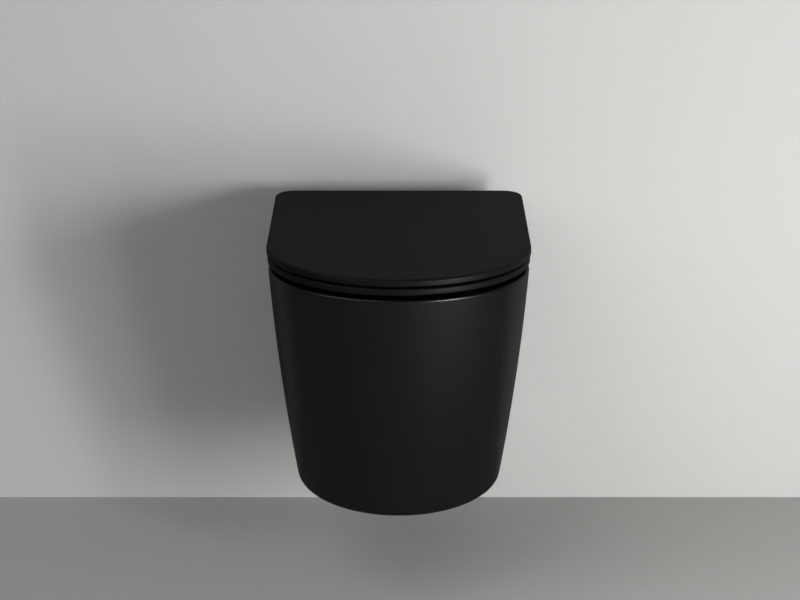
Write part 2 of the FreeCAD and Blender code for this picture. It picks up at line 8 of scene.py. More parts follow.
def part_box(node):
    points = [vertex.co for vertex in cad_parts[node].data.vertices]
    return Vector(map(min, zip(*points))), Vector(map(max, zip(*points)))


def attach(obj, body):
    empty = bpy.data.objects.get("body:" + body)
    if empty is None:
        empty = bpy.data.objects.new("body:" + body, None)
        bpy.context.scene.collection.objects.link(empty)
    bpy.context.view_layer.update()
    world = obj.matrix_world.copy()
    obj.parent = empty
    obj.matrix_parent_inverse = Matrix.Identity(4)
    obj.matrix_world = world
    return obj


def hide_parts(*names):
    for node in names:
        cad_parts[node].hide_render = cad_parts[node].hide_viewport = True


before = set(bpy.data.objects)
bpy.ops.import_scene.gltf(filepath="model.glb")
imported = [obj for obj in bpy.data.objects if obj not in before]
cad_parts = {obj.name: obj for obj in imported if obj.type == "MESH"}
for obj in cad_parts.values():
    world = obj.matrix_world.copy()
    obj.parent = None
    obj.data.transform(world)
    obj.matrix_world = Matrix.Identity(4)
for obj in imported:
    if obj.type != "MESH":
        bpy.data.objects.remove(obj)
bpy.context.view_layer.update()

# Camera. It stands in front of the bowl and looks down on the lid, as far away
# as the lid's edges in the photograph say.
lid_top_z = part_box("lid")[1].z
lid_back_y = -0.064
camera_distance, camera_rise = 3.3531, 0.9219
camera_pitch = 18.04
camera_lens = 106.37
picture_width, shift_in_pixels = 800, 1.2
camera_data = bpy.data.cameras.new("camera")
camera_data.lens = camera_lens
camera_data.sensor_width = 36.0
camera_data.shift_x = shift_in_pixels / picture_width
camera = bpy.data.objects.new("camera", camera_data)
camera.location = (0, lid_back_y - camera_distance, lid_top_z + camera_rise)
camera.rotation_euler = (math.radians(90 - camera_pitch), 0, 0)
bpy.context.scene.collection.objects.link(camera)
bpy.context.scene.camera = camera

# Wall and floor of a plain pale room, clear from behind and from below. The
# wall has a hole behind the bowl, just inside the gasket's outline.
room_half_width, room_depth = 4.0, 6.0
floor_z, ceiling_z = -0.406, 3.5
wall_gap = 0.0004
hole_low_half_width, hole_high_half_width = 0.1395, 0.1735
hole_low_z, hole_high_z = -0.2555, 0.0765
wall_grey, floor_grey = (0.52, 0.52, 0.505), (0.40, 0.40, 0.387)
paint_roughness = 0.9


def pale_paint(name, colour):
    """Matt paint that is clear from behind."""
    material = bpy.data.materials.new(name)
    material.use_nodes = True
    nodes, links = material.node_tree.nodes, material.node_tree.links
    paint = nodes["Principled BSDF"]
    paint.inputs["Base Color"].default_value = (*colour, 1)
    paint.inputs["Roughness"].default_value = paint_roughness
    clear = nodes.new("ShaderNodeBsdfTransparent")
    side = nodes.new("ShaderNodeNewGeometry")
    mix = nodes.new("ShaderNodeMixShader")
    links.new(side.outputs["Backfacing"], mix.inputs["Fac"])
    links.new(paint.outputs["BSDF"], mix.inputs[1])
    links.new(clear.outputs["BSDF"], mix.inputs[2])
    links.new(mix.outputs["Shader"], nodes["Material Output"].inputs["Surface"])
    return material


def room_panel(name, corners, material, hole=()):
    """A flat panel of the room, with a hole of four corners where one is given."""
    bm = bmesh.new()
    outer = [bm.verts.new(corner) for corner in corners]
    if hole:
        inner = [bm.verts.new(corner) for corner in hole]
        for i in range(4):
            bm.faces.new((outer[i - 1], outer[i], inner[i], inner[i - 1]))
    else:
        bm.faces.new(outer)
    mesh = bpy.data.meshes.new(name)
    bm.to_mesh(mesh)
    bm.free()
    mesh.materials.append(material)
    panel = bpy.data.objects.new(name, mesh)
    bpy.context.scene.collection.objects.link(panel)


def on_wall(low_half_width, high_half_width, low_z, high_z):
    """Corners of an upright outline on the wall, anticlockwise from the room."""
    return [(-low_half_width, wall_gap, low_z), (low_half_width, wall_gap, low_z),
            (high_half_width, wall_gap, high_z), (-high_half_width, wall_gap, high_z)]


room_panel("room_wall", on_wall(room_half_width, room_half_width, floor_z, ceiling_z),
           pale_paint("wall_paint", wall_grey),
           on_wall(hole_low_half_width, hole_high_half_width, hole_low_z, hole_high_z))
room_panel("room_floor", [(-room_half_width, -room_depth, floor_z),
                          (room_half_width, -room_depth, floor_z),
                          (room_half_width, room_depth, floor_z),
                          (-room_half_width, room_depth, floor_z)],
           pale_paint("floor_paint", floor_grey))

# Light. A wide soft lamp and a strip stand low at the right, a wide one fills
# from the left, and one lights the fixings from behind the wall.
bowl_middle = Vector((0, -0.25, -0.05))
room_glow = 0.1


def soft_lamp(name, azimuth, elevation, distance, width, height, power):
    """Lamp aimed at the bowl, its azimuth counted right from the front."""
    data = bpy.data.lights.new(name, "AREA")
    data.shape = "RECTANGLE"
    data.size = width
    data.size_y = height
    data.energy = power
    lamp = bpy.data.objects.new(name, data)
    turn, lift = math.radians(azimuth), math.radians(elevation)
    place = Vector((math.sin(turn) * math.cos(lift), -math.cos(turn) * math.cos(lift),
                    math.sin(lift)))
    lamp.location = bowl_middle + place * distance
    lamp.rotation_euler = (-place).to_track_quat("-Z", "Y").to_euler()
    bpy.context.scene.collection.objects.link(lamp)


soft_lamp("key_lamp", azimuth=38, elevation=6, distance=2.4, width=1.0, height=1.0, power=38)
soft_lamp("strip_lamp", azimuth=37, elevation=6, distance=1.6, width=0.1, height=0.7, power=12)
soft_lamp("fill_lamp", azimuth=-45, elevation=40, distance=3.0, width=2.5, height=2.5, power=28)
soft_lamp("back_lamp", azimuth=160, elevation=30, distance=2.2, width=1.2, height=1.2, power=25)
world = bpy.data.worlds.new("soft_room_light")
world.use_nodes = True
world.node_tree.nodes["Background"].inputs["Color"].default_value = (1, 1, 1, 1)
world.node_tree.nodes["Background"].inputs["Strength"].default_value = room_glow
bpy.context.scene.world = world
bpy.context.scene.view_settings.view_transform = "Standard"

# Ceramic bowl. Vitreous china, cast and fired in one piece with its trap and
# skirt, under a matt black glaze. Behind the skirt the glaze thins out to a
# rough spray, and the pale fired clay shows.
corner_weld = 2e-6
smooth_degrees = 32
hinge_x, hinge_y = 0.0775, -0.0535
seat_hole_reach, deck_underside_z = 0.0076, 0.0662
side_screw_y, side_hole_reach, side_hole_x = -0.04, 0.0113, 0.1503
spigot_z, spigot_radius = -0.1, 0.051
spigot_end_y, spigot_root_y = -0.008, -0.0505
rear_edge_y = -0.0032
clay_index = 1
blotch_scale, blotch_shift = 28.0, 0.022
speck_scale, speck_scatter = 1100.0, 0.03
spray_begins_y, spray_covers_y = -0.034, 0.02
spray_black = (0.004, 0.004, 0.004, 1)


def build_fine_tooth():
    """Node group: the fine unevenness of a surface, with slow clouds of gloss."""
    tooth_detail, cloud_detail = 2.0, 4.0
    cloud_low, cloud_high = 0.3, 0.7
    group = bpy.data.node_groups.new("fine_tooth", "ShaderNodeTree")
    group.interface.new_socket("Stretch", in_out="INPUT", socket_type="NodeSocketVector")
    for name in ("Tooth Scale", "Cloud Scale", "Roughness Low", "Roughness High"):
        group.interface.new_socket(name, in_out="INPUT", socket_type="NodeSocketFloat")
    for name in ("Height", "Clouds", "Roughness"):
        group.interface.new_socket(name, in_out="OUTPUT", socket_type="NodeSocketFloat")
    nodes, links = group.nodes, group.links
    inputs, outputs = nodes.new("NodeGroupInput"), nodes.new("NodeGroupOutput")
    place = nodes.new("ShaderNodeTexCoord")
    stretch = nodes.new("ShaderNodeVectorMath")
    stretch.operation = "MULTIPLY"
    tooth, cloud = nodes.new("ShaderNodeTexNoise"), nodes.new("ShaderNodeTexNoise")
    tooth.inputs["Detail"].default_value = tooth_detail
    cloud.inputs["Detail"].default_value = cloud_detail
    spread = nodes.new("ShaderNodeMapRange")
    spread.inputs["From Min"].default_value = cloud_low
    spread.inputs["From Max"].default_value = cloud_high
    links.new(place.outputs["Object"], stretch.inputs[0])
    links.new(inputs.outputs["Stretch"], stretch.inputs[1])
    for texture, scale in ((tooth, "Tooth Scale"), (cloud, "Cloud Scale")):
        links.new(stretch.outputs["Vector"], texture.inputs["Vector"])
        links.new(inputs.outputs[scale], texture.inputs["Scale"])
    links.new(cloud.outputs["Fac"], spread.inputs["Value"])
    links.new(inputs.outputs["Roughness Low"], spread.inputs["To Min"])
    links.new(inputs.outputs["Roughness High"], spread.inputs["To Max"])
    links.new(tooth.outputs["Fac"], outputs.inputs["Height"])
    links.new(cloud.outputs["Fac"], outputs.inputs["Clouds"])
    links.new(spread.outputs["Result"], outputs.inputs["Roughness"])
    return group


fine_tooth = build_fine_tooth()


def surface_material(name, dark, light, roughness, tooth, clouds=9.0, stretch=(1, 1, 1),
                     specular=0.5, metallic=0.0, coat=(0.0, 0.3, 1.5)):
    """A finish whose colour and gloss drift slightly over a fine raised tooth.
    roughness is its least and most, tooth its scale and depth, and coat its
    weight, roughness and index."""
    tooth_scale, tooth_depth = tooth
    least_roughness, most_roughness = roughness
    coat_weight, coat_roughness, coat_index = coat
    material = bpy.data.materials.new(name)
    material.use_nodes = True
    nodes, links = material.node_tree.nodes, material.node_tree.links
    finish = nodes["Principled BSDF"]
    grain = nodes.new("ShaderNodeGroup")
    grain.node_tree = fine_tooth
    grain.inputs["Stretch"].default_value = stretch
    grain.inputs["Tooth Scale"].default_value = tooth_scale
    grain.inputs["Cloud Scale"].default_value = clouds
    grain.inputs["Roughness Low"].default_value = least_roughness
    grain.inputs["Roughness High"].default_value = most_roughness
    tint = nodes.new("ShaderNodeMix")
    tint.name = "tint"
    tint.data_type = "RGBA"
    tint.inputs["A"].default_value = (*dark, 1)
    tint.inputs["B"].default_value = (*light, 1)
    relief = nodes.new("ShaderNodeBump")
    relief.name = "relief"
    relief.inputs["Distance"].default_value = tooth_depth
    links.new(grain.outputs["Clouds"], tint.inputs["Factor"])
    links.new(tint.outputs["Result"], finish.inputs["Base Color"])
    links.new(grain.outputs["Roughness"], finish.inputs["Roughness"])
    links.new(grain.outputs["Height"], relief.inputs["Height"])
    links.new(relief.outputs["Normal"], finish.inputs["Normal"])
    finish.inputs["Specular IOR Level"].default_value = specular
    finish.inputs["Metallic"].default_value = metallic
    finish.inputs["Coat Weight"].default_value = coat_weight
    finish.inputs["Coat Roughness"].default_value = coat_roughness
    finish.inputs["Coat IOR"].default_value = coat_index
    return material


def shade_by_angle(bm, degrees):
    """Smooth shading, kept sharp where faces meet at more than an angle."""
    limit = math.radians(degrees)
    for face in bm.faces:
        face.smooth = True
    for edge in bm.edges:
        edge.smooth = edge.is_manifold and edge.calc_face_angle(0) < limit


def add_piece(name, bm, materials, body, slot, *nodes):
    """Makes an object of the mesh data, standing for CAD nodes on one body."""
    mesh = bpy.data.meshes.new(name)
    bm.to_mesh(mesh)
    bm.free()
    for material in materials:
        mesh.materials.append(material)
    piece = bpy.data.objects.new(name, mesh)
    bpy.context.scene.collection.objects.link(piece)
    weighted = piece.modifiers.new("even_shading", "WEIGHTED_NORMAL")
    weighted.keep_sharp = True
    weighted.weight = 80
    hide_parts(*nodes)
    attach(piece, body)


def joined_mesh(node):
    """The node's own triangles, joined at their corners."""
    bm = bmesh.new()
    bm.from_mesh(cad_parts[node].data)
    bmesh.ops.remove_doubles(bm, verts=bm.verts, dist=corner_weld)
    for face in bm.faces:
        face.material_index = 0
    return bm


def smooth_copy(node, body, material, slot, degrees=smooth_degrees):
    """The node as it is, in its own finish and shaded smooth."""
    bm = joined_mesh(node)
    shade_by_angle(bm, degrees)
    add_piece(node + "_surface", bm, [material], body, slot, node)


def on_spigot_outside(face):
    """Whether a face lies on the waste spigot's outside, behind its root."""
    tolerance = 0.0001
    return all(abs(math.hypot(vert.co.x, vert.co.z - spigot_z) - spigot_radius) < tolerance
               and vert.co.y > spigot_root_y for vert in face.verts)


def closes_rear_hollow(face):
    """Whether a face lies where the hollow behind the skirt ends: on the rear
    edge, on the spigot's end, or in the holes for the seat and side screws."""
    tolerance, beyond_rim = 0.0003, 0.0005
    x, y, z = face.calc_center_median()
    in_seat_hole = (abs(abs(x) - hinge_x) < seat_hole_reach
                    and abs(y - hinge_y) < seat_hole_reach and z > deck_underside_z)
    in_side_hole = math.hypot(y - side_screw_y, z) < side_hole_reach and abs(x) > side_hole_x
    on_spigot_end = (abs(y - spigot_end_y) < tolerance
                     and math.hypot(x, z - spigot_z) < spigot_radius + beyond_rim)
    return y > rear_edge_y or in_seat_hole or in_side_hole or on_spigot_end


def mark_rear_hollow(bm, index):
    """Gives a material to the hollow's faces, spreading from the spigot's outside."""
    start = next(face for face in bm.faces if on_spigot_outside(face))
    reached, waiting = {start}, [start]
    while waiting:
        face = waiting.pop()
        face.material_index = index
        for edge in face.edges:
            for other in edge.link_faces:
                if other not in reached and not closes_rear_hollow(other):
                    reached.add(other)
                    waiting.append(other)


def build_overspray():
    """Node group: a sprayed edge that thins out with the distance from the wall."""
    group = bpy.data.node_groups.new("overspray", "ShaderNodeTree")
    group.interface.new_socket("Mask", in_out="OUTPUT", socket_type="NodeSocketFloat")
    nodes, links = group.nodes, group.links
    outputs = nodes.new("NodeGroupOutput")
    place, axes = nodes.new("ShaderNodeTexCoord"), nodes.new("ShaderNodeSeparateXYZ")
    blotches, specks = nodes.new("ShaderNodeTexNoise"), nodes.new("ShaderNodeTexNoise")
    blotches.inputs["Scale"].default_value = blotch_scale
    specks.inputs["Scale"].default_value = speck_scale
    shift, scatter = nodes.new("ShaderNodeMath"), nodes.new("ShaderNodeMath")
    shift.operation = scatter.operation = "MULTIPLY_ADD"
    shift.inputs[1].default_value = blotch_shift
    scatter.inputs[1].default_value = speck_scatter
    fade = nodes.new("ShaderNodeMapRange")
    fade.interpolation_type = "SMOOTHSTEP"
    fade.inputs["From Min"].default_value = spray_begins_y
    fade.inputs["From Max"].default_value = spray_covers_y
    for taker in (axes, blotches, specks):
        links.new(place.outputs["Object"], taker.inputs["Vector"])
    links.new(blotches.outputs["Fac"], shift.inputs[0])
    links.new(axes.outputs["Y"], shift.inputs[2])
    links.new(specks.outputs["Fac"], scatter.inputs[0])
    links.new(shift.outputs["Value"], scatter.inputs[2])
    links.new(scatter.outputs["Value"], fade.inputs["Value"])
    links.new(fade.outputs["Result"], outputs.inputs["Mask"])
    return group


def sprayed_clay_material():
    """Pale fired clay, under black spray near the skirt's rear edge."""
    material = surface_material("sprayed_clay", dark=(0.30, 0.27, 0.22),
                                light=(0.44, 0.41, 0.35), roughness=(0.75, 0.9),
                                tooth=(420, 0.0002), clouds=14.0, specular=0.3)
    nodes, links = material.node_tree.nodes, material.node_tree.links
    spray, cover = nodes.new("ShaderNodeGroup"), nodes.new("ShaderNodeMix")
    spray.node_tree = build_overspray()
    cover.data_type = "RGBA"
    cover.inputs["B"].default_value = spray_black
    links.new(spray.outputs["Mask"], cover.inputs["Factor"])
    links.new(nodes["tint"].outputs["Result"], cover.inputs["A"])
    links.new(cover.outputs["Result"], nodes["Principled BSDF"].inputs["Base Color"])
    return material


matt_glaze = surface_material("matt_black_glaze", dark=(0.0006, 0.0007, 0.0007),
                              light=(0.0012, 0.0013, 0.0012), roughness=(0.45, 0.55),
                              tooth=(900, 0.00004), specular=0.0, coat=(0.18, 0.3, 2.2))
bowl_mesh = joined_mesh("ceramic_bowl")
mark_rear_hollow(bowl_mesh, clay_index)
shade_by_angle(bowl_mesh, smooth_degrees)
add_piece("ceramic_bowl_surface", bowl_mesh, [matt_glaze, sprayed_clay_material()], "bowl",
          "black_ceramic", "ceramic_bowl")

# Wall gasket. Closed-cell foam strip, cut to the skirt's rear edge and stuck on
# it, so that the bowl meets the wall without a gap.


def build_round_cells():
    """Node group: round cells, as heights and as one shade for each cell."""
    group = bpy.data.node_groups.new("round_cells", "ShaderNodeTree")
    group.interface.new_socket("Cell Scale", in_out="INPUT", socket_type="NodeSocketFloat")
    for name in ("Height", "Shade"):
        group.interface.new_socket(name, in_out="OUTPUT", socket_type="NodeSocketFloat")
    nodes, links = group.nodes, group.links
    inputs, outputs = nodes.new("NodeGroupInput"), nodes.new("NodeGroupOutput")
    place, cells = nodes.new("ShaderNodeTexCoord"), nodes.new("ShaderNodeTexVoronoi")
    split = nodes.new("ShaderNodeSeparateColor")
    links.new(place.outputs["Object"], cells.inputs["Vector"])
    links.new(inputs.outputs["Cell Scale"], cells.inputs["Scale"])
    links.new(cells.outputs["Color"], split.inputs["Color"])
    links.new(cells.outputs["Distance"], outputs.inputs["Height"])
    links.new(split.outputs["Red"], outputs.inputs["Shade"])
    return group


round_cells = build_round_cells()


def add_cells(material, scale, relief_depth=0.0):
    """Colours a material cell by cell and, given a depth, raises the cells."""
    nodes, links = material.node_tree.nodes, material.node_tree.links
    cells = nodes.new("ShaderNodeGroup")
    cells.node_tree = round_cells
    cells.inputs["Cell Scale"].default_value = scale
    links.new(cells.outputs["Shade"], nodes["tint"].inputs["Factor"])
    if relief_depth:
        nodes["relief"].inputs["Distance"].default_value = relief_depth
        links.new(cells.outputs["Height"], nodes["relief"].inputs["Height"])


grey_foam = surface_material("grey_foam", dark=(0.085, 0.09, 0.095), light=(0.16, 0.165, 0.17),
                             roughness=(0.85, 0.95), tooth=(700, 0.0003))
add_cells(grey_foam, scale=950, relief_depth=0.0004)
smooth_copy("wall_gasket", "bowl", grey_foam, "grey_foam")

# Flush inlet seal. Moulded rubber sleeve pressed into the socket, with ribs in
# its bore that grip the flush pipe and a lip over the socket's edge.
rightward, rearward, upward = Vector((1, 0, 0)), Vector((0, 1, 0)), Vector((0, 0, 1))
ring_weld = 1e-6
inlet_z, pipe_radius = 0.035, 0.0225
lip_thickness, lip_radius = 0.003, 0.03
sleeve_depth, sleeve_radius = 0.043, 0.0275
sleeve_mouth_radius, sleeve_bore_radius = pipe_radius + 0.0006, pipe_radius + 0.0004
lead_in_depth, lead_in_radius = 0.002, 0.0262
rib_count, rib_pitch, first_rib_y = 4, 0.009, -0.036
rib_radius, rib_shoulder_radius = pipe_radius - 0.0006, pipe_radius - 0.0004
rib_half_width, rib_shoulder_half_width = 0.0016, 0.0006
seal_rounding = 0.0006


def square_to(axis):
    """A direction square to an axis: up, or to the right of an upright one."""
    return upward if abs(axis.z) < 0.5 else rightward


def spin_profile(bm, profile, centre, along, steps=96):
    """Spins a closed outline, given as distances along and from an axis."""
    out = square_to(along)
    verts = [bm.verts.new(centre + along * a + out * r) for a, r in profile]
    edges = [bm.edges.new((verts[i - 1], verts[i])) for i in range(len(verts))
             if profile[i - 1][1] or profile[i][1]]
    bmesh.ops.spin(bm, geom=verts + edges, cent=centre, axis=along, angle=2 * math.pi,
                   steps=steps, use_merge=True)
    bmesh.ops.remove_doubles(bm, verts=bm.verts, dist=ring_weld)


def softened(points, radius, steps=3):
    """The closed outline with its corners rounded, as far as there is room."""
    nearly_straight, share_of_side = math.radians(170), 0.45
    result = []
    for i, point in enumerate(points):
        here = Vector(point)
        before = Vector(points[i - 1]) - here
        after = Vector(points[(i + 1) % len(points)]) - here
        if not here.y or before.angle(after) > nearly_straight:
            result.append(tuple(here))
            continue
        reach = min(radius, before.length * share_of_side, after.length * share_of_side)
        start, end = here + before.normalized() * reach, here + after.normalized() * reach
        for step in range(steps + 1):
            t = step / steps
            result.append(tuple(start * (1 - t) ** 2 + here * 2 * t * (1 - t) + end * t ** 2))
    return result


def add_made_piece(name, bm, degrees, material, body, slot, *nodes):
    """Adds a mesh made here, with its faces turned outwards first."""
    bmesh.ops.recalc_face_normals(bm, faces=bm.faces)
    shade_by_angle(bm, degrees)
    add_piece(name, bm, [material], body, slot, *nodes)


def turned_pieces(name, profile, places, material, body, slot, *nodes):
    """The same round piece at each place, given as its centre and its axis."""
    bm = bmesh.new()
    for centre, along in places:
        spin_profile(bm, profile, Vector(centre), along)
    add_made_piece(name, bm, smooth_degrees, material, body, slot, *nodes)


black_rubber = surface_material("black_rubber", dark=(0.010, 0.010, 0.010),
                                light=(0.017, 0.017, 0.016), roughness=(0.55, 0.7),
                                tooth=(1300, 0.00004), specular=0.35)
seal_outline = softened([(0, sleeve_mouth_radius), (0, lip_radius),
                         (-lip_thickness, lip_radius), (-lip_thickness, sleeve_radius),
                         (-sleeve_depth + lead_in_depth, sleeve_radius),
                         (-sleeve_depth, lead_in_radius),
                         (-sleeve_depth, sleeve_bore_radius)], seal_rounding)
for k in range(rib_count):
    rib_y = first_rib_y + rib_pitch * k
    seal_outline += [(rib_y - rib_half_width, sleeve_bore_radius),
                     (rib_y - rib_shoulder_half_width, rib_shoulder_radius),
                     (rib_y, rib_radius),
                     (rib_y + rib_shoulder_half_width, rib_shoulder_radius),
                     (rib_y + rib_half_width, sleeve_bore_radius)]
turned_pieces("inlet_seal_ribbed", seal_outline, [((0, 0, inlet_z), rearward)], black_rubber,
              "bowl", "black_rubber", "inlet_seal")

# Wall brackets. Two angles of zinc-plated sheet steel, held on the wall by the
# studs; the skirt is screwed to their arms from outside.
flat_degrees, sheared_degrees, sheet_shading_degrees = 1, 40, 50
sheet_edge_width = 0.0005


def bevelled_copy(node, body, material, slot, width):
    """A flat-sided node with its triangles joined into faces and its edges bevelled."""
    bm = joined_mesh(node)
    bmesh.ops.dissolve_limit(bm, angle_limit=math.radians(flat_degrees), verts=bm.verts,
                             edges=bm.edges)
    sharp = [edge for edge in bm.edges if edge.is_manifold
             and edge.calc_face_angle(0) > math.radians(sheared_degrees)]
    bmesh.ops.bevel(bm, geom=sharp, offset=width, segments=2, profile=0.5, affect="EDGES",
                    clamp_overlap=True, material=-1)
    bmesh.ops.triangulate(bm, faces=bm.faces)
    shade_by_angle(bm, sheet_shading_degrees)
    add_piece(node + "_surface", bm, [material], body, slot, node)


zinc_plate = surface_material("zinc_plated_steel", dark=(0.40, 0.42, 0.44),
                              light=(0.58, 0.60, 0.61), roughness=(0.32, 0.5),
                              tooth=(500, 0.00003), clouds=60.0, metallic=1.0)
add_cells(zinc_plate, scale=190)
for side in ("left", "right"):
    bevelled_copy("wall_bracket_" + side, "bowl", zinc_plate, "galvanised_steel",
                  sheet_edge_width)

# Stud washers and nuts. Stainless steel, M12, turned and chamfered; they clamp
# the brackets' feet to the wall. The studs belong to the wall.
stud_x, stud_radius, stud_pitch = 0.09, 0.006, 0.00175
bracket_thickness = 0.004
washer_thickness, washer_radius, washer_rounding = 0.0025, 0.012, 0.0003
thread_sink = 0.0002
machined_degrees = 24


def ring_radius(kind, size, angle):
    """Radius at an angle of a circle, or of a hexagon with a corner at zero."""
    if kind == "round":
        return size
    return size / math.cos(angle % (math.pi / 3) - math.pi / 6)


def stacked_rings(bm, rings, centre, along, out, closed=True, count=72):
    """Extrudes a circle through rings of a kind, size and height, back to the
    first one, or else with flat faces at both ends. A fourth number is the radius
    beyond which a ring slopes at 30 degrees, and a fifth says up or down."""
    side = along.cross(out)

    def shape(verts, ring):
        kind, size, height, *chamfer = ring
        for vert in verts:
            arm = vert.co - centre
            angle = math.atan2(arm.dot(side), arm.dot(out))
            angle = round(angle * count / (2 * math.pi)) * 2 * math.pi / count
            radius = ring_radius(kind, size, angle)
            level = height
            if chamfer:
                level += chamfer[1] * max(0.0, radius - chamfer[0]) * math.tan(math.pi / 6)
            vert.co = (centre + along * level
                       + (out * math.cos(angle) + side * math.sin(angle)) * radius)

    stance = Matrix((out, side, along)).transposed().to_4x4()
    stance.translation = centre
    verts = bmesh.ops.create_circle(bm, segments=count, radius=rings[0][1],
                                    matrix=stance)["verts"]
    edges = list(dict.fromkeys(edge for vert in verts for edge in vert.link_edges))
    shape(verts, rings[0])
    first = edges
    for ring in rings[1:] + (rings[:1] if closed else []):
        grown = bmesh.ops.extrude_edge_only(bm, edges=edges)["geom"]
        verts = [item for item in grown if isinstance(item, bmesh.types.BMVert)]
        edges = [item for item in grown if isinstance(item, bmesh.types.BMEdge)
                 and all(vert in verts for vert in item.verts)]
        shape(verts, ring)
    if closed:
        bmesh.ops.remove_doubles(bm, verts=bm.verts, dist=ring_weld)
    else:
        for loop in (first, edges):
            bmesh.ops.edgeloop_fill(bm, edges=loop)


def add_thread(bm, root, crest, pitch, turns, centre, along, steps=28):
    """Helical ridge from a root radius to a crest radius, sunk a little into the
    metal, spun up from one tooth's outline and closed at its ends."""
    crest_from, crest_to, tooth_to = 0.35, 0.5, 0.85
    out = square_to(along)
    sunk = root - math.copysign(thread_sink, crest - root)
    tooth = [(0, sunk), (0, root), (crest_from, crest), (crest_to, crest), (tooth_to, root),
             (tooth_to, sunk)]
    verts = [bm.verts.new(centre + along * a * pitch + out * r) for a, r in tooth]
    edges = [bm.edges.new((verts[i - 1], verts[i])) for i in range(len(verts))]
    ridge = bmesh.ops.spin(bm, geom=verts + edges, cent=centre, axis=along,
                           angle=2 * math.pi * turns, steps=steps * turns,
                           dvec=along * pitch / steps)
    last = [edge for edge in ridge["geom_last"] if isinstance(edge, bmesh.types.BMEdge)]
    for loop in (edges, last):
        bmesh.ops.edgeloop_fill(bm, edges=loop)


def hex_nuts(name, half_flats, height, bore, pitch, places, material, slot, node):
    """Chamfered nuts at centres with their axis and one corner, their bores
    threaded where a pitch is given."""
    chamfer_share, thread_share, lead_in = 0.98, 0.5, 0.0004
    top = half_flats * chamfer_share
    rings = [("round", bore, lead_in), ("round", bore + lead_in, 0), ("round", top, 0),
             ("hex", half_flats, 0, top, 1), ("hex", half_flats, height, top, -1),
             ("round", top, height), ("round", bore + lead_in, height),
             ("round", bore, height - lead_in)]
    bm = bmesh.new()
    for centre, along, out in places:
        centre = Vector(centre)
        stacked_rings(bm, rings, centre, along, out)
        if pitch:
            turns = int(height / pitch) - 1
            rest = (height - (turns + 1) * pitch) / 2
            add_thread(bm, bore, bore - pitch * thread_share, pitch, turns,
                       centre + along * rest, along)
    add_made_piece(name, bm, machined_degrees, material, "bowl", slot, node)


stainless = surface_material("stainless_steel", dark=(0.47, 0.47, 0.46),
                             light=(0.60, 0.60, 0.59), roughness=(0.22, 0.36),
                             tooth=(700, 0.00002), clouds=90.0, stretch=(1, 0.08, 1),
                             metallic=1.0)
washer_outline = softened([(0, stud_radius), (0, washer_radius),
                           (-washer_thickness, washer_radius),
                           (-washer_thickness, stud_radius)], washer_rounding)
turned_pieces("stud_washers_rounded", washer_outline,
              [((x, -bracket_thickness, 0), rearward) for x in (-stud_x, stud_x)], stainless,
              "bowl", "stainless_steel", "stud_washers")
nut_y = -bracket_thickness - washer_thickness
hex_nuts("stud_nuts_threaded", half_flats=0.0095, height=0.01, bore=stud_radius,
         pitch=stud_pitch,
         places=[((x, nut_y, 0), -rearward, rightward) for x in (-stud_x, stud_x)],
         material=stainless, slot="stainless_steel", node="stud_nuts")

# Side fixings. A weld nut on each bracket's arm, a white sleeve in the skirt, a
# stainless screw and a matt cap that closes the recess flush with the skirt.
nut_low, nut_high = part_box("side_nuts")
hex_nuts("side_nuts_chamfered", half_flats=0.0065, height=0.0065, bore=0.004, pitch=None,
         places=[((nut_high.x, side_screw_y, 0), -rightward, upward),
                 ((nut_low.x, side_screw_y, 0), rightward, upward)],
         material=zinc_plate, slot="galvanised_steel", node="side_nuts")
white_plastic = surface_material("white_plastic", dark=(0.60, 0.59, 0.55),
                                 light=(0.68, 0.67, 0.63), roughness=(0.38, 0.48),
                                 tooth=(900, 0.00003))
smooth_copy("side_sleeves", "bowl", white_plastic, "white_plastic")
smooth_copy("side_screws", "bowl", stainless, "stainless_steel")
cap_plastic = surface_material("matt_black_cap", dark=(0.0012, 0.0012, 0.0012),
                               light=(0.0020, 0.0020, 0.0019), roughness=(0.5, 0.6),
                               tooth=(1500, 0.00003), specular=0.0, coat=(0.2, 0.4, 2.0))
for side in ("left", "right"):
    smooth_copy("side_cap_" + side, "bowl", cap_plastic, "black_plastic")

# Seat fixings. A steel post stands on the deck under each barrel; a screw pulls
# a brass nut up, which squeezes a rubber bush under the deck.
deck_top_z = 0.08
post_foot_height, post_recess_floor, post_height = 0.003, 0.0195, 0.0230
post_foot_radius, post_radius, post_recess_radius, post_bore = 0.0098, 0.006, 0.005, 0.0032
post_rounding, bush_rounding = 0.0005, 0.0006
bush_length, bush_radius, bush_foot_radius = 0.032, 0.00725, 0.0076
bush_bulge = [(-0.014, bush_radius), (-0.0155, 0.0088), (-0.021, 0.0095), (-0.027, 0.0095),
              (-0.0305, 0.0088)]
screw_radius, screw_pitch, screw_thread_from = 0.003, 0.001, 0.045
screw_head, screw_socket = (0.0048, 0.0035), (0.002, 0.002)
post_places = [((x, hinge_y, deck_top_z), upward) for x in (-hinge_x, hinge_x)]
post_outline = softened([(0, post_bore), (0, post_foot_radius),
                         (post_foot_height, post_foot_radius), (post_foot_height, post_radius),
                         (post_height, post_radius), (post_height, post_recess_radius),
                         (post_recess_floor, post_recess_radius),
                         (post_recess_floor, post_bore)], post_rounding)
turned_pieces("hinge_posts_turned", post_outline, post_places, stainless, "bowl",
              "stainless_steel", "hinge_post_left", "hinge_post_right")
bush_outline = softened([(0, screw_radius), (0, bush_radius), *bush_bulge,
                         (-bush_length, bush_foot_radius), (-bush_length, screw_radius)],
                        bush_rounding)
turned_pieces("expansion_bushes_squeezed", bush_outline, post_places, black_rubber, "bowl",
              "black_rubber", "expansion_bushes")
turned_brass = surface_material("turned_brass", dark=(0.58, 0.40, 0.14),
                                light=(0.72, 0.52, 0.22), roughness=(0.24, 0.36),
                                tooth=(700, 0.00002), clouds=80.0, stretch=(1, 1, 0.08),
                                metallic=1.0)
